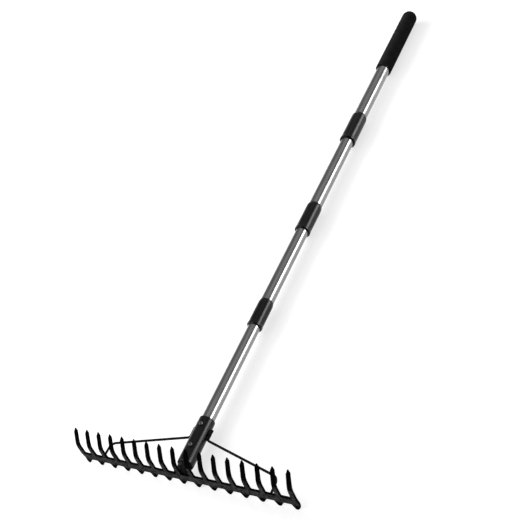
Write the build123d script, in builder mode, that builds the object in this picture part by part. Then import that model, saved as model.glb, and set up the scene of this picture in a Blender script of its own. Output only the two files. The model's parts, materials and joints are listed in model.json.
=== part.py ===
"""Bow rake with a forged seventeen-tine head and a four-section telescoping handle.

The rake lies on its back: the tines point up (+Z), the bar runs along X and the handle along +Y,
from the head to the grip. The origin is the middle of the footprint, on the ground.
Lengths are in millimetres. Stations are distances along the handle from the front of the bar;
the lobes of its lower edge flare a little further forward.
"""
from build123d import *
from math import cos, radians, sin, tan
import os

# Head
tine_count = 17
tine_pitch = 25.5
tine_root_width = 8.0
tine_tip_width = 6.4
tine_point_width = 1.6
tine_point_length = 4.5
tine_point_thickness = 1.2
tine_rise = 49.5
tine_root_lean = 7.5
tine_tip_lean = 34.0
tine_knee_rise = 25.0
tine_knee_radius = 30.0
crotch_rise = 4.0
crotch_radius = 2.0
bar_thickness = 3.5
lobe_count = 15
end_lobe_reach = 5.7
lobe_width = 17.0
lobe_flank_angle = 48.0
lobe_tip_radius = 5.0
lobe_drop = 18.9
lobe_edge_thickness = 1.0
lobe_flare = 3.0
lobe_bend_radius = 12.0
outline_tolerance = 0.01

# Neck, socket and braces
neck_length = 16.0
neck_root_radius = 10.5
neck_top_radius = 11.0
shank_radius = 6.0
shank_length = 38.0
socket_length = 83.0
socket_wall = 2.6
socket_floor = 4.0
socket_edge_radius = 2.4
brace_wire_radius = 2.0
brace_foot_x = 163.0
brace_drop = 1.2
brace_elbow_length = 26.6
brace_elbow_radius = 12.0
brace_leg_radius = 4.0
brace_junction_length = 47.5
brace_leg_length = 19.0
leg_weld_gap = 1.8
leg_weld_width = 3.0
foot_weld_radius = 4.0
foot_weld_length = 1.8
weld_clearance = 0.1

# Screws through the top of the socket, placed from its lower end
socket_screw_stations = (28.4, 66.9)
screw_turn = 9.0
screw_shank_radius = 1.75
screw_tip_gap = 0.5
screw_head_radius = 3.2
screw_head_height = 2.4
screw_head_round = 1.0
screw_recess_length = 3.6
screw_recess_width = 0.9
screw_recess_depth = 1.3
screw_boss_radius = 4.6
screw_boss_height = 0.8
screw_clearance = 0.05

# Tubes
section_count = 4
inner_tube_diameter = 22.2
tube_wall = 0.9
tube_gap = 0.35
shown_lengths = (194.0, 182.0, 203.5, 179.0)
tube_overlap = 60.0

# Collars
collar_length = 57.5
collar_growth = 14.2
collar_wall = 1.5
collar_wall_growth = 0.3
collar_glue_gap = 0.03
collar_lip = 2.0
collar_lip_gap = 0.6
collar_flare = 0.5
collar_flare_length = 3.0
collar_taper_length = 5.0
collar_taper_edge = 0.5
collar_flute_count = 24
collar_flute_depth = 0.3
collar_flute_width = 0.9
collar_flute_start = 9.0
collar_flute_end = 10.0
bush_length = 8.0
running_gap = 0.05

# Expanders that lock one tube inside the next
plug_depth = 18.0
plug_flange = 3.0
stud_radius = 3.0
stud_length = 31.1
cone_start = 2.5
cone_length = 12.0
cone_angle = 10.0
shell_start = 6.0
shell_length = 25.0
shell_mouth_wall = 2.0
shell_floor = 3.0
shell_slot_count = 3
shell_slot_width = 2.0
shell_slot_length = 19.0
key_clearance = 0.1
key_inset = 0.8
cap_screw_radius = 5.5
cap_screw_head = 1.5
cap_screw_shank_radius = 1.25
cap_screw_depth = 8.0

# Grip
grip_length = 238.0
grip_wall = 3.62
grip_end_wall = 6.0
grip_dome_radius = 14.0
grip_lip_radius = 1.5
end_cap_depth = 12.0
end_cap_flange = 1.5

# Places that follow from the sizes above
axis_height = lobe_drop
section_numbers = range(section_count)
lock_numbers = range(section_count - 1)
tube_radii = [inner_tube_diameter / 2 + n * (tube_wall + tube_gap) for n in section_numbers]
bore_radii = [radius - tube_wall for radius in tube_radii]
collar_lengths = [collar_length + n * collar_growth for n in lock_numbers]
collar_radii = [tube_radii[n + 1] + collar_wall + n * collar_wall_growth for n in lock_numbers]
socket_bore = tube_radii[0] + running_gap
socket_radius = socket_bore + socket_wall
grip_bore = tube_radii[-1] + collar_glue_gap
grip_radius = grip_bore + grip_wall

socket_station = bar_thickness + neck_length
socket_end_station = socket_station + socket_length
collar_stations = []
reach = socket_end_station
for n in lock_numbers:
    reach += shown_lengths[n]
    collar_stations.append(reach)
    reach += collar_lengths[n]
grip_station = reach + shown_lengths[-1]
end_station = grip_station + grip_length
overall_length = lobe_flare + end_station
mouth_stations = [station + collar_lip + bush_length for station in collar_stations]
tube_starts = [socket_station + socket_floor] + mouth_stations
tube_ends = [station + tube_overlap for station in mouth_stations]
tube_ends.append(end_station - grip_end_wall - end_cap_flange)

handle_axis = Axis((0, 0, axis_height), (0, 1, 0))


def place(station):
    """Y of a station counted from the front of the bar."""
    return station + lobe_flare - overall_length / 2


def bend_lean(rise):
    """How far the root of a tine leans towards the grip at a height above the handle's axis."""
    return (rise - crotch_rise) * tan(radians(tine_root_lean))


def across(station):
    """Plane square to the handle, on its axis and facing the grip."""
    return Plane(origin=(0, place(station), axis_height), x_dir=(1, 0, 0), z_dir=(0, 1, 0))


def along(station=0.0):
    """Plane through the handle's axis: x runs towards the grip and y is the radius."""
    return Plane(origin=(0, place(station), axis_height), x_dir=(0, 1, 0), z_dir=(1, 0, 0))


def above(station):
    """Plane on the handle's axis at a station, facing the way that the screws go in."""
    turn = radians(screw_turn)
    return Plane(
        origin=(0, place(station), axis_height),
        x_dir=(cos(turn), 0, -sin(turn)),
        z_dir=(sin(turn), 0, cos(turn)),
    )


def save(piece, name):
    piece.label = name
    export_step(piece, f"parts/{name}.step")


os.makedirs("parts", exist_ok=True)

# Rake head: bar, tines and lobed edge, cut to one outline and bent to one side profile
head_front = place(-lobe_flare)
head_plane = Plane(origin=(0, head_front, axis_height), x_dir=(1, 0, 0), z_dir=(0, -1, 0))
half_span = tine_pitch * (tine_count - 1) / 2
bar_half_width = half_span + tine_root_width / 2
lobe_span = bar_half_width - end_lobe_reach
lobe_pitch = 2 * lobe_span / (lobe_count - 1)
lobe_flank = radians(lobe_flank_angle)
lobe_apex = lobe_width / 2 * tan(lobe_flank)
lobe_depth = lobe_apex - lobe_tip_radius * (1 / cos(lobe_flank) - 1)
lobe_root = lobe_depth - lobe_drop
shoulder_rise = tine_rise - tine_point_length
knee_lean = bend_lean(tine_knee_rise)
shoulder_lean = knee_lean + (shoulder_rise - tine_knee_rise) * tan(radians(tine_tip_lean))
tip_lean = knee_lean + (tine_rise - tine_knee_rise) * tan(radians(tine_tip_lean))
tip_middle = tip_lean + bar_thickness / 2
head_depth = lobe_flare + tip_lean + bar_thickness

with BuildPart() as rake_head:
    with BuildSketch(head_plane) as outline:
        Polygon(
            (-bar_half_width, crotch_rise),
            (-bar_half_width, lobe_root),
            (bar_half_width, lobe_root),
            (bar_half_width, crotch_rise),
            align=None,
        )
        with GridLocations(lobe_pitch, 0, lobe_count, 1):
            Polygon(
                (-lobe_width / 2, lobe_root),
                (0, lobe_root - lobe_apex),
                (lobe_width / 2, lobe_root),
                align=None,
            )
        Rectangle(2 * bar_half_width, 4 * lobe_drop, mode=Mode.INTERSECT)
        with GridLocations(tine_pitch, 0, tine_count, 1):
            Polygon(
                (-tine_root_width / 2, lobe_root / 2),
                (tine_root_width / 2, lobe_root / 2),
                (tine_root_width / 2, crotch_rise),
                (tine_tip_width / 2, shoulder_rise),
                (tine_point_width / 2, tine_rise),
                (-tine_point_width / 2, tine_rise),
                (-tine_tip_width / 2, shoulder_rise),
                (-tine_root_width / 2, crotch_rise),
                align=None,
            )
        inside = bar_half_width - outline_tolerance
        corners = outline.vertices().filter_by(lambda corner: abs(corner.X) < inside)
        crotches = corners.filter_by(lambda corner: abs(corner.Y - crotch_rise) < outline_tolerance)
        fillet(crotches, crotch_radius)
        lobe_tips = outline.vertices().group_by(Axis.Y)[0]
        fillet(lobe_tips, lobe_tip_radius)
    extrude(amount=-head_depth)
    with BuildSketch(along()) as side:
        Polygon(
            (-lobe_flare, -lobe_drop),
            (lobe_edge_thickness - lobe_flare, -lobe_drop),
            (bar_thickness, lobe_root),
            (bar_thickness, crotch_rise),
            (bar_thickness + knee_lean, tine_knee_rise),
            (bar_thickness + shoulder_lean, shoulder_rise),
            (tip_middle + tine_point_thickness / 2, tine_rise),
            (tip_middle - tine_point_thickness / 2, tine_rise),
            (shoulder_lean, shoulder_rise),
            (knee_lean, tine_knee_rise),
            (0, crotch_rise),
            (0, lobe_root),
            align=None,
        )
        corners = side.vertices()
        bends = corners.filter_by(lambda corner: abs(corner.Y - lobe_root) < outline_tolerance)
        fillet(bends, lobe_bend_radius)
        corners = side.vertices()
        knees = corners.filter_by(lambda corner: abs(corner.Y - tine_knee_rise) < outline_tolerance)
        fillet(knees, tine_knee_radius)
    extrude(amount=bar_half_width, both=True, mode=Mode.INTERSECT)
save(rake_head.part, "rake_head")

# Tang: the neck behind the bar and the shank that runs up inside the first tube
neck_start = bar_thickness + bend_lean(neck_root_radius)
with BuildPart() as tang:
    with BuildSketch(along()):
        with BuildLine():
            Polyline(
                (neck_start, 0),
                (neck_start, neck_root_radius),
                (socket_station, neck_top_radius),
                (socket_station, shank_radius),
                (socket_station + shank_length, shank_radius),
                (socket_station + shank_length, 0),
                close=True,
            )
        make_face()
    revolve(axis=handle_axis)
save(tang.part, "tang")

# Socket: a tube closed at the head end, with two screw bosses
with BuildPart() as socket:
    with BuildSketch(across(socket_station)):
        Circle(socket_radius)
    extrude(amount=socket_length)
    fillet(socket.edges().filter_by(GeomType.CIRCLE), socket_edge_radius)
    for station in socket_screw_stations:
        with BuildSketch(above(socket_station + station)):
            Circle(screw_boss_radius)
        extrude(amount=socket_radius + screw_boss_height)
    with BuildSketch(across(socket_station + socket_floor)):
        Circle(socket_bore)
    extrude(amount=socket_length, mode=Mode.SUBTRACT)
    with BuildSketch(across(socket_station)):
        Circle(shank_radius + weld_clearance)
    extrude(amount=socket_floor, mode=Mode.SUBTRACT)
    for station in socket_screw_stations:
        with BuildSketch(above(socket_station + station)):
            Circle(screw_shank_radius + screw_clearance)
        extrude(amount=2 * socket_radius, mode=Mode.SUBTRACT)
save(socket.part, "socket")

# Screws: cross-recessed domed heads on the bosses, shanks through the socket, tube and foot plug
screw_length = socket_radius + screw_boss_height - shank_radius - screw_tip_gap
with BuildPart() as socket_screws:
    for station in socket_screw_stations:
        seat = above(socket_station + station).offset(socket_radius + screw_boss_height)
        with BuildSketch(seat):
            Circle(screw_head_radius)
        extrude(amount=screw_head_height)
        with BuildSketch(seat):
            Circle(screw_shank_radius)
        extrude(amount=-screw_length)
    rims = socket_screws.edges().filter_by(GeomType.CIRCLE)
    fillet(rims.group_by(Axis.Z)[-1], screw_head_round)
    for station in socket_screw_stations:
        head_top = socket_radius + screw_boss_height + screw_head_height
        with BuildSketch(above(socket_station + station).offset(head_top)):
            Rectangle(screw_recess_length, screw_recess_width)
            Rectangle(screw_recess_width, screw_recess_length)
        extrude(amount=-screw_recess_depth, mode=Mode.SUBTRACT)
save(socket_screws.part, "socket_screws")

# Foot plug: fills the first tube round the shank, where the lower screw bites
plug_start = socket_station + socket_floor
with BuildPart() as foot_plug:
    with BuildSketch(across(plug_start)):
        Circle(bore_radii[0])
        Circle(shank_radius + running_gap, mode=Mode.SUBTRACT)
    extrude(amount=shank_length - socket_floor)
    with BuildSketch(above(socket_station + socket_screw_stations[0])):
        Circle(screw_shank_radius + screw_clearance)
    extrude(amount=socket_radius, mode=Mode.SUBTRACT)
save(foot_plug.part, "foot_plug")

# Braces: bent wires from the back of the bar to legs welded along the sides of the socket
leg_x = socket_radius + brace_wire_radius + leg_weld_gap
brace_height = axis_height - brace_drop
leg_station = socket_station + brace_junction_length
leg_end_station = leg_station + brace_leg_length
elbow_station = bar_thickness + brace_elbow_length
foot_station = bar_thickness
for side, side_name in ((-1, "left"), (1, "right")):
    with BuildPart() as brace:
        with BuildLine():
            wire = FilletPolyline(
                (side * brace_foot_x, place(foot_station), brace_height),
                (side * brace_foot_x, place(elbow_station), brace_height),
                (side * leg_x, place(leg_station), brace_height),
                (side * leg_x, place(leg_end_station), brace_height),
                radius=(brace_elbow_radius, brace_leg_radius),
            )
        with BuildSketch(across(foot_station)):
            with Locations((side * brace_foot_x, brace_drop)):
                Circle(brace_wire_radius)
        sweep(path=wire)
        with BuildSketch(across(foot_station)):
            with Locations((side * brace_foot_x, brace_drop)):
                Circle(foot_weld_radius)
        extrude(amount=foot_weld_length, taper=45)
        with BuildSketch(across(leg_station)):
            with Locations((side * (leg_x + socket_bore) / 2, brace_drop)):
                Rectangle(leg_x - socket_bore, leg_weld_width)
            Circle(socket_radius + weld_clearance, mode=Mode.SUBTRACT)
        extrude(amount=brace_leg_length)
    save(brace.part, f"brace_{side_name}")

# Tubes: four sections, each sliding in the next; the first is drilled for the socket screws
for n in section_numbers:
    with BuildPart() as tube:
        with BuildSketch(across(tube_starts[n])):
            Circle(tube_radii[n])
            Circle(bore_radii[n], mode=Mode.SUBTRACT)
        extrude(amount=tube_ends[n] - tube_starts[n])
        if n == 0:
            for station in socket_screw_stations:
                with BuildSketch(above(socket_station + station)):
                    Circle(screw_shank_radius + screw_clearance)
                extrude(amount=socket_radius, mode=Mode.SUBTRACT)
    save(tube.part, f"tube_{n + 1}")

# One lock for each joint between tubes
for n in lock_numbers:
    number = n + 1
    outer_bore = bore_radii[n + 1]
    top = tube_ends[n]

    # Collar: a sleeve glued over the mouth of the larger tube, fluted, flared at its lip
    lip = collar_stations[n]
    collar_end = lip + collar_lengths[n]
    skin = collar_radii[n]
    sleeve_bore = tube_radii[n + 1] + collar_glue_gap
    lip_bore = tube_radii[n] + collar_lip_gap
    with BuildPart() as collar:
        with BuildSketch(along()):
            with BuildLine():
                Polyline(
                    (lip, lip_bore),
                    (lip, skin + collar_flare),
                    (lip + collar_flare_length, skin + collar_flare),
                    (lip + 2 * collar_flare_length, skin),
                    (collar_end - collar_taper_length, skin),
                    (collar_end, sleeve_bore + collar_taper_edge),
                    (collar_end, sleeve_bore),
                    (lip + collar_lip, sleeve_bore),
                    (lip + collar_lip, lip_bore),
                    close=True,
                )
            make_face()
        revolve(axis=handle_axis)
        with BuildSketch(across(lip + collar_flute_start)):
            with PolarLocations(skin, collar_flute_count):
                Rectangle(2 * collar_flute_depth, collar_flute_width)
        extrude(
            amount=collar_lengths[n] - collar_flute_start - collar_flute_end,
            mode=Mode.SUBTRACT,
        )
    save(collar.part, f"collar_{number}")

    # Guide bush: behind the lip, where the smaller tube runs in it
    with BuildPart() as bush:
        with BuildSketch(across(lip + collar_lip)):
            Circle(sleeve_bore)
            Circle(tube_radii[n] + running_gap, mode=Mode.SUBTRACT)
        extrude(amount=bush_length)
    save(bush.part, f"guide_bush_{number}")

    # End plug: fixed in the top of the smaller tube, with the stud that carries the expander
    with BuildPart() as end_plug:
        with BuildSketch(across(top - plug_depth)):
            Circle(bore_radii[n])
        extrude(amount=plug_depth)
        with BuildSketch(across(top)):
            Circle(tube_radii[n])
        extrude(amount=plug_flange)
        with BuildSketch(across(top + plug_flange)):
            Circle(stud_radius)
        extrude(amount=stud_length)
        with BuildSketch(across(top + plug_flange + stud_length)):
            Circle(cap_screw_shank_radius)
        extrude(amount=-cap_screw_depth, mode=Mode.SUBTRACT)
    save(end_plug.part, f"end_plug_{number}")

    # Cone nut: runs on the stud and spreads the split shell
    cone_base = top + plug_flange + cone_start
    base_radius = outer_bore - shell_mouth_wall
    tip_radius = base_radius - cone_length * tan(radians(cone_angle))
    with BuildPart() as cone_nut:
        with BuildSketch(along()):
            with BuildLine():
                Polyline(
                    (cone_base, stud_radius + running_gap),
                    (cone_base, base_radius),
                    (cone_base + cone_length, tip_radius),
                    (cone_base + cone_length, stud_radius + running_gap),
                    close=True,
                )
            make_face()
        revolve(axis=handle_axis)
        key_reach = outer_bore - key_inset
        key_root = (stud_radius + tip_radius) / 2
        with BuildSketch(across(cone_base)):
            with PolarLocations((key_root + key_reach) / 2, shell_slot_count):
                Rectangle(key_reach - key_root, shell_slot_width - 2 * key_clearance)
        extrude(amount=cone_length)
    save(cone_nut.part, f"cone_nut_{number}")

    # Expander shell: split from its mouth by slots that the keys of the cone nut ride in
    shell_base = top + plug_flange + shell_start
    shell_end = shell_base + shell_length
    shell_radius = outer_bore - running_gap
    mouth_radius = base_radius - (shell_start - cone_start) * tan(radians(cone_angle)) + key_clearance
    chamber_radius = tip_radius + key_clearance
    with BuildPart() as shell:
        with BuildSketch(along()):
            with BuildLine():
                Polyline(
                    (shell_base, mouth_radius),
                    (shell_base, shell_radius),
                    (shell_end, shell_radius),
                    (shell_end, stud_radius + running_gap),
                    (shell_end - shell_floor, stud_radius + running_gap),
                    (shell_end - shell_floor, chamber_radius),
                    (cone_base + cone_length, chamber_radius),
                    close=True,
                )
            make_face()
        revolve(axis=handle_axis)
        with BuildSketch(across(shell_base)):
            with PolarLocations(shell_radius, shell_slot_count):
                Rectangle(2 * (shell_radius - tip_radius), shell_slot_width)
        extrude(amount=shell_slot_length, mode=Mode.SUBTRACT)
    save(shell.part, f"expander_{number}")

    # Cap screw: keeps the shell on the stud
    screw_seat = top + plug_flange + stud_length
    with BuildPart() as cap_screw:
        with BuildSketch(across(screw_seat)):
            Circle(cap_screw_radius)
        extrude(amount=cap_screw_head)
        with BuildSketch(across(screw_seat)):
            Circle(cap_screw_shank_radius)
        extrude(amount=-cap_screw_depth)
    save(cap_screw.part, f"cap_screw_{number}")

# End cap: closes the top of the last tube under the grip
with BuildPart() as end_cap:
    with BuildSketch(across(tube_ends[-1] - end_cap_depth)):
        Circle(bore_radii[-1])
    extrude(amount=end_cap_depth)
    with BuildSketch(across(tube_ends[-1])):
        Circle(tube_radii[-1])
    extrude(amount=end_cap_flange)
save(end_cap.part, "end_cap")

# Grip: a soft sleeve pulled over the last tube, with a domed closed end
with BuildPart() as grip:
    with BuildSketch(across(grip_station)):
        Circle(grip_radius)
    extrude(amount=grip_length)
    fillet(grip.edges().sort_by(Axis.Y)[-1], grip_dome_radius)
    fillet(grip.edges().sort_by(Axis.Y)[0], grip_lip_radius)
    with BuildSketch(across(grip_station)):
        Circle(grip_bore)
    extrude(amount=grip_length - grip_end_wall, mode=Mode.SUBTRACT)
save(grip.part, "grip")
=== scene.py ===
"""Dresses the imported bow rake: a finish for every node, weld beads, a floor, lamps and a camera."""
import json
import math

import bpy
import bmesh
from mathutils import Matrix, Vector


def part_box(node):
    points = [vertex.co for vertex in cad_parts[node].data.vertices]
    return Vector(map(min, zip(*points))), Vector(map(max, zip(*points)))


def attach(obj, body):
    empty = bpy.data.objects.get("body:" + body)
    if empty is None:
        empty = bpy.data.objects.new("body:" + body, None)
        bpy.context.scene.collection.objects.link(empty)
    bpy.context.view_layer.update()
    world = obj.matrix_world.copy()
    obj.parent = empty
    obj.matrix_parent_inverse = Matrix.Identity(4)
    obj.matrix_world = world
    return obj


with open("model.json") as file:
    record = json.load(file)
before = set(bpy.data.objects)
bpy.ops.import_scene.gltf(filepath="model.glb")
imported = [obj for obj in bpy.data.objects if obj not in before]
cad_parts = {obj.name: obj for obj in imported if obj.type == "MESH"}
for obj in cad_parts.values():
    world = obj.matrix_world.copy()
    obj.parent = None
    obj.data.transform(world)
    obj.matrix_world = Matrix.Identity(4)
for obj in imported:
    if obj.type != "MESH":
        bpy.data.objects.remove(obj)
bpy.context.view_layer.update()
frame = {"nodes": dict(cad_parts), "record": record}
nodes = frame["nodes"]

# How far the lobes reach in front of the bar (in metres, as are all the lengths here)
LOBE_FLARE = 0.003

tube_low, tube_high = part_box("tube_1")
bar_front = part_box("rake_head")[0][1] + LOBE_FLARE
handle_height = tube_low[2] + (tube_high[2] - tube_low[2]) / 2


# ---------- shader helpers ----------

# Nearly all of a noise texture lies between these values
NOISE_LOW, NOISE_HIGH = 0.3, 0.7


def new_material(name):
    """A node material and its Principled shader, with nothing linked yet."""
    material = bpy.data.materials.new(name)
    material.use_nodes = True
    return material, material.node_tree.nodes["Principled BSDF"]


def add_node(owner, kind, **settings):
    """A new node in the tree of a material or of the world."""
    node = owner.node_tree.nodes.new(kind)
    for key, value in settings.items():
        setattr(node, key, value)
    return node


def link(owner, source, target):
    owner.node_tree.links.new(source, target)


def maths(owner, operation, *operands):
    """Math node, in which each operand is a socket or a float."""
    node = add_node(owner, "ShaderNodeMath", operation=operation)
    for place, operand in zip(node.inputs, operands):
        if isinstance(operand, float):
            place.default_value = operand
        else:
            link(owner, operand, place)
    return node.outputs[0]


def object_coords(material, scale=(1, 1, 1)):
    """Object coordinates, stretched by a scale for each axis."""
    coords = add_node(material, "ShaderNodeTexCoord")
    mapping = add_node(material, "ShaderNodeMapping")
    mapping.inputs["Scale"].default_value = scale
    link(material, coords.outputs["Object"], mapping.inputs["Vector"])
    return mapping.outputs["Vector"]


def noise(material, vector, scale, detail, roughness=0.5):
    node = add_node(material, "ShaderNodeTexNoise")
    node.inputs["Scale"].default_value = scale
    node.inputs["Detail"].default_value = detail
    node.inputs["Roughness"].default_value = roughness
    link(material, vector, node.inputs["Vector"])
    return node.outputs["Fac"]


def remap(material, value, low, high, out_low=0.0, out_high=1.0):
    node = add_node(material, "ShaderNodeMapRange")
    node.inputs["From Min"].default_value = low
    node.inputs["From Max"].default_value = high
    node.inputs["To Min"].default_value = out_low
    node.inputs["To Max"].default_value = out_high
    link(material, value, node.inputs["Value"])
    return node.outputs["Result"]


def ramp(material, value, low, dark, high, light):
    """Colour that runs from dark, where the value is low, to light, where it is high."""
    node = add_node(material, "ShaderNodeValToRGB")
    stops = ((low, dark), (high, light))
    for element, (position, colour) in zip(node.color_ramp.elements, stops):
        element.position = position
        element.color = (*colour, 1.0)
    link(material, value, node.inputs["Fac"])
    return node.outputs["Color"]


def set_roughness(material, shader, value, smoothest, roughest):
    """Roughness that follows a noise between two limits."""
    spread = remap(material, value, NOISE_LOW, NOISE_HIGH, smoothest, roughest)
    link(material, spread, shader.inputs["Roughness"])


def bump(material, shader, height, distance, strength):
    node = add_node(material, "ShaderNodeBump")
    node.inputs["Distance"].default_value = distance
    node.inputs["Strength"].default_value = strength
    link(material, height, node.inputs["Height"])
    link(material, node.outputs["Normal"], shader.inputs["Normal"])


def grey(value):
    return (value, value, value)


def lighten(colour, factor):
    return tuple(factor * channel for channel in colour)


# ---------- finishes ----------

# The painted light on the flats stops this far from an edge, leaving a rim of painted shade, and ends
# where a face turns away past this range
PAINTED_RIM_WIDTH = 0.0012
FLAT_LOW, FLAT_HIGH = 0.93, 0.985
# Share of a downward tilt that still counts as facing forward and gets the painted light, since the
# lobes flare
LOBE_TILT_SHARE = 0.25
# The painted light fades out down the lobes into painted shade, between these heights
PAINTED_SHADE_FOOT, PAINTED_SHADE_TOP = 0.0002, handle_height - 0.0085


def painted_light_mask(material):
    """1 on the flats that face along the handle or a little down, 0 elsewhere and near edges: where
    the painted light goes.
    """
    edges = add_node(material, "ShaderNodeBevel", samples=6)
    edges.inputs["Radius"].default_value = PAINTED_RIM_WIDTH
    turned = add_node(material, "ShaderNodeVectorTransform", vector_type="NORMAL",
                      convert_from="WORLD", convert_to="OBJECT")
    facing = add_node(material, "ShaderNodeSeparateXYZ")
    link(material, edges.outputs["Normal"], turned.inputs["Vector"])
    link(material, turned.outputs["Vector"], facing.inputs[0])
    along = maths(material, "ABSOLUTE", facing.outputs["Y"])
    lowered = maths(material, "MULTIPLY", facing.outputs["Z"], -LOBE_TILT_SHARE)
    total = maths(material, "ADD", along, maths(material, "MAXIMUM", lowered, 0.0))
    return remap(material, total, FLAT_LOW, FLAT_HIGH)


def mottled_paint(material, shader, dark, light):
    """Rough black paint, blotched with charcoal; gives its colour and leaves it unlinked."""
    shader.inputs["Specular IOR Level"].default_value = 0.005
    mottle = noise(material, object_coords(material), 210.0, 5.0, 0.75)
    set_roughness(material, shader, mottle, 0.45, 0.62)
    bump(material, shader, mottle, 0.0005, 0.5)
    return ramp(material, mottle, 0.40, dark, 0.62, light)


def forged_paint_with_painted_light(name, edge, dark, light):
    """Black paint on a forging, with painted light, the floor's reflection, as a mottled charcoal on
    the flats of the bar, and painted shade at the rims and down the lobes.
    """
    material, shader = new_material(name)
    painted_sheen = mottled_paint(material, shader, dark, light)
    place = add_node(material, "ShaderNodeSeparateXYZ")
    link(material, object_coords(material), place.inputs[0])
    # painted shade: the flats darken towards the bottom of the lobes, as the shade near the floor
    height = remap(material, place.outputs["Z"], PAINTED_SHADE_FOOT, PAINTED_SHADE_TOP)
    mix = add_node(material, "ShaderNodeMix", data_type="RGBA")
    mix.inputs["A"].default_value = (*edge, 1.0)
    # painted light: the mottled charcoal shows only where the mask finds forward-facing flats away
    # from rims
    link(material, maths(material, "MULTIPLY", height, painted_light_mask(material)), mix.inputs["Factor"])
    link(material, painted_sheen, mix.inputs["B"])
    link(material, mix.outputs["Result"], shader.inputs["Base Color"])
    return material


def weld_paint(name, dark, light):
    """The same rough paint over welds and over the neck, with no painted light on flats."""
    material, shader = new_material(name)
    link(material, mottled_paint(material, shader, dark, light), shader.inputs["Base Color"])
    return material


def satin_paint(name, colour, roughness, specular):
    """Smooth black paint with a faint orange peel."""
    material, shader = new_material(name)
    shader.inputs["Specular IOR Level"].default_value = specular
    vector = object_coords(material)
    cloud = noise(material, vector, 40.0, 3.0)
    tone = ramp(material, cloud, NOISE_LOW, colour, 0.75, lighten(colour, 1.5))
    link(material, tone, shader.inputs["Base Color"])
    set_roughness(material, shader, cloud, roughness - 0.05, roughness + 0.07)
    bump(material, shader, noise(material, vector, 700.0, 2.0), 0.00015, 0.35)
    return material


def brushed_steel(name):
    """Stainless tube polished round its girth: fine rings and a soft streaky sheen."""
    material, shader = new_material(name)
    rings = noise(material, object_coords(material, (1, 60, 1)), 60.0, 2.0)
    streaks = noise(material, object_coords(material, (1, 0.05, 1)), 500.0, 2.0)
    tone = ramp(material, streaks, 0.25, grey(0.24), 0.75, grey(0.35))
    link(material, tone, shader.inputs["Base Color"])
    shader.inputs["Metallic"].default_value = 1.0
    set_roughness(material, shader, rings, 0.15, 0.22)
    bump(material, shader, rings, 0.00004, 0.25)
    return material


def moulded_plastic(name, colour, roughness):
    """Satin moulded plastic with a fine spark-eroded grain."""
    material, shader = new_material(name)
    shader.inputs["Specular IOR Level"].default_value = 0.28
    vector = object_coords(material)
    grain = noise(material, vector, 1400.0, 2.0)
    cloud = noise(material, vector, 55.0, 3.0)
    tone = ramp(material, cloud, NOISE_LOW, colour, NOISE_HIGH, lighten(colour, 1.35))
    link(material, tone, shader.inputs["Base Color"])
    set_roughness(material, shader, grain, roughness - 0.05, roughness + 0.08)
    bump(material, shader, grain, 0.0001, 0.3)
    return material


def foam(name):
    """Closed-cell foam: matte, with fine pores and faint clouds of grey."""
    material, shader = new_material(name)
    shader.inputs["Specular IOR Level"].default_value = 0.01
    vector = object_coords(material)
    pores = add_node(material, "ShaderNodeTexVoronoi")
    pores.inputs["Scale"].default_value = 900.0
    link(material, vector, pores.inputs["Vector"])
    cloud = noise(material, vector, 60.0, 4.0, 0.6)
    tone = ramp(material, cloud, NOISE_LOW, grey(0.012), NOISE_HIGH, grey(0.020))
    link(material, tone, shader.inputs["Base Color"])
    shader.inputs["Roughness"].default_value = 0.78
    bump(material, shader, pores.outputs["Distance"], 0.0003, 0.5)
    return material


def zinc(name):
    """Zinc-plated screws, a little dull."""
    material, shader = new_material(name)
    cloud = noise(material, object_coords(material), 300.0, 3.0)
    tone = ramp(material, cloud, NOISE_LOW, grey(0.12), NOISE_HIGH, grey(0.2))
    link(material, tone, shader.inputs["Base Color"])
    shader.inputs["Metallic"].default_value = 1.0
    set_roughness(material, shader, cloud, 0.35, 0.5)
    return material


finishes = {
    # head_paint: black paint, with painted light on the flats and painted shade at the rims and down
    # the lobes
    "head_paint": forged_paint_with_painted_light("head_paint", edge=grey(0.002), dark=grey(0.006), light=grey(0.095)),
    "neck_paint": weld_paint("neck_paint", dark=grey(0.004), light=grey(0.045)),
    "socket_paint": satin_paint("socket_paint", grey(0.002), roughness=0.26, specular=0.28),
    "brace_paint": satin_paint("brace_paint", grey(0.0015), roughness=0.5, specular=0.08),
    "stainless": brushed_steel("stainless"),
    "collar_plastic": moulded_plastic("collar_plastic", grey(0.002), roughness=0.24),
    "bush_plastic": moulded_plastic("bush_plastic", grey(0.04), roughness=0.5),
    "nylon": moulded_plastic("nylon", (0.55, 0.53, 0.47), roughness=0.5),
    "screw_steel": zinc("screw_steel"),
    "grip_foam": foam("grip_foam"),
}


def dress_nodes():
    """Gives each CAD node the finish of its slot in the record, and the neck its rougher paint."""
    for entry in frame["record"]["subparts"]:
        node = nodes[entry["node"]]
        node.data.materials.clear()
        node.data.materials.append(finishes[entry["material_slot"]])
    nodes["tang"].data.materials[0] = finishes["neck_paint"]


dress_nodes()


# ---------- rounded edges ----------

FORGED_EDGE_WIDTH = 0.0009
SHARP_EDGE_ANGLE = 28


def round_edges(name, width):
    """Rounds the sharp edges of a node, as forging leaves them."""
    rounding = nodes[name].modifiers.new("rounding", "BEVEL")
    rounding.width = width
    rounding.segments = 3
    rounding.limit_method = "ANGLE"
    rounding.angle_limit = math.radians(SHARP_EDGE_ANGLE)
    rounding.harden_normals = True


round_edges("rake_head", FORGED_EDGE_WIDTH)


# ---------- welds ----------

BEAD_SIDES = 10
BEAD_RIPPLE = 0.0022
RIPPLE_DEPTH = 0.16
# An open bead starts at the first share of its radius, and gains the second at each point
TAPER_START, TAPER_STEP = 0.25, 0.5
# A direction that no bead runs along, from which its rings are squared up
ACROSS = Vector((0.3, 0.2, 0.9))

NECK_BEAD, SOCKET_BEAD, LEG_BEAD = 0.0016, 0.0017, 0.0018
RING_SHIFT = 0.0003
SOCKET_RING_REACH = 0.0007
RING_POINTS = 132

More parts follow.
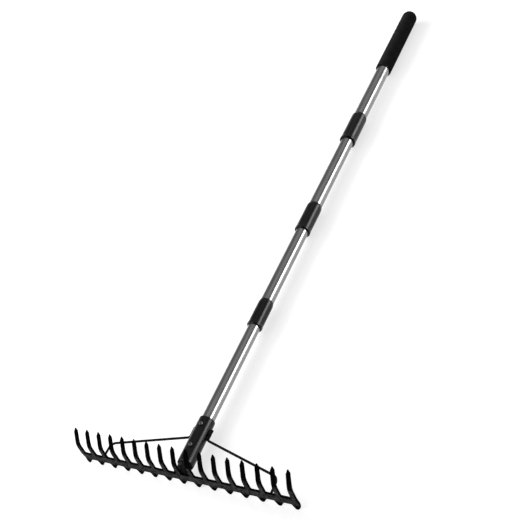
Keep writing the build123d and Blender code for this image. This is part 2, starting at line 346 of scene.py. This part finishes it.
LEG_BEAD_REACH = 0.0019
LEG_BEAD_START, LEG_BEAD_END = 0.0192, 0.0008
LEG_BEAD_RISES = {"top": 0.0004, "bottom": -0.0028}
LEG_POINTS = 36


def bead_rings(mesh, path, radius, closed):
    """Rings of vertices along a path, swollen by the ripples and tapered at open ends."""
    rings = []
    run = 0.0
    last = len(path) - 1
    for i, point in enumerate(path):
        before = path[i - 1] if closed or i > 0 else point
        after = path[(i + 1) % len(path)] if closed or i < last else point
        along = (after - before).normalized()
        side = along.cross(ACROSS).normalized()
        up = side.cross(along)
        run += (point - path[i - 1]).length if i > 0 else 0.0
        swell = 1.0 - RIPPLE_DEPTH + RIPPLE_DEPTH * abs(math.sin(math.pi * run / BEAD_RIPPLE))
        taper = 1.0 if closed else min(1.0, TAPER_START + TAPER_STEP * min(i, last - i))
        reach = radius * swell * taper
        angles = [2 * math.pi * k / BEAD_SIDES for k in range(BEAD_SIDES)]
        rings.append([mesh.verts.new(point + reach * (math.cos(a) * side + math.sin(a) * up))
                      for a in angles])
    return rings


def weld_bead(name, path, radius, closed=False):
    """Rippled bead of weld along a line of points; an open bead tapers at both ends."""
    mesh = bmesh.new()
    rings = bead_rings(mesh, path, radius, closed)
    pairs = list(zip(rings, rings[1:])) + ([(rings[-1], rings[0])] if closed else [])
    for ring, following in pairs:
        for k in range(BEAD_SIDES):
            m = (k + 1) % BEAD_SIDES
            mesh.faces.new((ring[k], ring[m], following[m], following[k]))
    if not closed:
        mesh.faces.new(reversed(rings[0]))
        mesh.faces.new(rings[-1])
    bmesh.ops.recalc_face_normals(mesh, faces=mesh.faces)
    data = bpy.data.meshes.new(name)
    mesh.to_mesh(data)
    mesh.free()
    for face in data.polygons:
        face.use_smooth = True
    data.materials.append(finishes["neck_paint"])
    bead = bpy.data.objects.new(name, data)
    bpy.context.scene.collection.objects.link(bead)
    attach(bead, "head")


def ring_path(station, radius):
    """Points round the handle's axis, at a place along it."""
    angles = [2 * math.pi * k / RING_POINTS for k in range(RING_POINTS)]
    return [Vector((radius * math.cos(a), station, handle_height + radius * math.sin(a)))
            for a in angles]


def line_path(start, end):
    """Points along a straight line."""
    return [Vector(start).lerp(Vector(end), k / (LEG_POINTS - 1)) for k in range(LEG_POINTS)]


def make_welds():
    """Beads round both ends of the neck, and along the brace legs on the sides of the socket."""
    neck_foot, neck_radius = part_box("tang")[0][1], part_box("tang")[1][0]
    socket_foot, socket_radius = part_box("socket")[0][1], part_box("socket")[1][0]
    leg_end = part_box("brace_right")[1][1]
    neck_ring = ring_path(neck_foot + RING_SHIFT, neck_radius - RING_SHIFT)
    weld_bead("weld_neck_foot", neck_ring, NECK_BEAD, closed=True)
    socket_ring = ring_path(socket_foot - RING_SHIFT, neck_radius + SOCKET_RING_REACH)
    weld_bead("weld_socket_foot", socket_ring, SOCKET_BEAD, closed=True)
    for side, side_name in ((-1, "left"), (1, "right")):
        for place, rise in LEG_BEAD_RISES.items():
            x = side * (socket_radius + LEG_BEAD_REACH)
            z = handle_height + rise
            path = line_path((x, leg_end - LEG_BEAD_START, z), (x, leg_end - LEG_BEAD_END, z))
            weld_bead(f"weld_{side_name}_{place}", path, LEG_BEAD)


make_welds()


# ---------- studio ----------

FLOOR_HALF_SIZE = 15.0
FLOOR_DROP = 0.0005
FLOOR_COLOUR = (0.40, 0.40, 0.40)
FLOOR_GLOW = 0.7
WORLD_GREY = 0.30

# Name, place, target, size across and along the handle, watts, lights surfaces, shows in gloss
LAMPS = (
    ("strip", (1.96, 1.45, 0.585), (0, 1.45, 0.02), (1.02, 3.0), 76, False, True),
    ("key", (-1.6, -1.4, 1.6), (0, -0.4, 0), (2.2, 2.2), 40, True, True),
    ("side", (-2.0, 0.6, 1.2), (0, 0.4, 0), (1.2, 2.4), 75, True, False),
    ("overhead", (0.1, 1.6, 2.0), (0, 1.6, 0), (1.8, 3.6), 5, True, True),
)


def area_lamp(name, place, target, size, energy, diffuse, glossy):
    """Rectangular soft lamp aimed at a point; its long side lies along the handle."""
    lamp = bpy.data.lights.new(name, "AREA")
    lamp.energy = energy
    lamp.shape = "RECTANGLE"
    lamp.size, lamp.size_y = size
    obj = bpy.data.objects.new(name, lamp)
    obj.visible_diffuse = diffuse
    obj.visible_glossy = glossy
    forward = (Vector(target) - Vector(place)).normalized()
    side = forward.cross(Vector((0, 1, 0))).normalized()
    turn = Matrix((side, side.cross(forward), -forward)).transposed().to_4x4()
    obj.matrix_world = Matrix.Translation(place) @ turn
    bpy.context.scene.collection.objects.link(obj)


def paper_material():
    """Paper that shows as white to the camera, in gloss and through glass, and keeps the shadow."""
    material = bpy.data.materials.new("floor_paper")
    material.use_nodes = True
    material.node_tree.nodes.clear()
    paper = add_node(material, "ShaderNodeBsdfDiffuse")
    paper.inputs["Color"].default_value = (*FLOOR_COLOUR, 1)
    rays = add_node(material, "ShaderNodeLightPath").outputs
    bent = maths(material, "MAXIMUM", rays["Is Glossy Ray"], rays["Is Transmission Ray"])
    shown = maths(material, "MAXIMUM", rays["Is Camera Ray"], bent)
    glow = add_node(material, "ShaderNodeEmission")
    link(material, maths(material, "MULTIPLY", shown, FLOOR_GLOW), glow.inputs["Strength"])
    both = add_node(material, "ShaderNodeAddShader")
    link(material, paper.outputs[0], both.inputs[0])
    link(material, glow.outputs[0], both.inputs[1])
    output = add_node(material, "ShaderNodeOutputMaterial")
    link(material, both.outputs[0], output.inputs["Surface"])
    return material


def make_floor():
    """Sheet of paper just under the rake."""
    mesh = bpy.data.meshes.new("floor")
    sheet = bmesh.new()
    corners = [(-1, -1), (1, -1), (1, 1), (-1, 1)]
    sheet.faces.new([sheet.verts.new((FLOOR_HALF_SIZE * x, FLOOR_HALF_SIZE * y, -FLOOR_DROP))
                     for x, y in corners])
    sheet.to_mesh(mesh)
    sheet.free()
    mesh.materials.append(paper_material())
    floor = bpy.data.objects.new("floor", mesh)
    bpy.context.scene.collection.objects.link(floor)


def make_world():
    """Soft grey light from all round, with a sky that the camera sees as white."""
    world = bpy.data.worlds.new("studio")
    bpy.context.scene.world = world
    world.use_nodes = True
    sky = world.node_tree.nodes["Background"]
    sky.inputs["Color"].default_value = (1, 1, 1, 1)
    camera_ray = add_node(world, "ShaderNodeLightPath").outputs["Is Camera Ray"]
    link(world, maths(world, "MAXIMUM", camera_ray, WORLD_GREY), sky.inputs["Strength"])


make_floor()
make_world()
for lamp_settings in LAMPS:
    area_lamp(*lamp_settings)


# ---------- camera ----------

SENSOR_WIDTH, LENS = 36.0, 52.67
# Measured from the middle of the bar's front face, at the height of the handle
CAMERA_PLACE = (0.7259, -0.3837, 0.9080)
CAMERA_TURN = (48.106, 22.063, 24.495)

camera_data = bpy.data.cameras.new("camera")
camera_data.sensor_width = SENSOR_WIDTH
camera_data.lens = LENS
camera = bpy.data.objects.new("camera", camera_data)
camera.location = Vector((0, bar_front, handle_height)) + Vector(CAMERA_PLACE)
camera.rotation_euler = [math.radians(angle) for angle in CAMERA_TURN]
bpy.context.scene.collection.objects.link(camera)
bpy.context.scene.camera = camera
bpy.context.scene.view_settings.view_transform = "Standard"
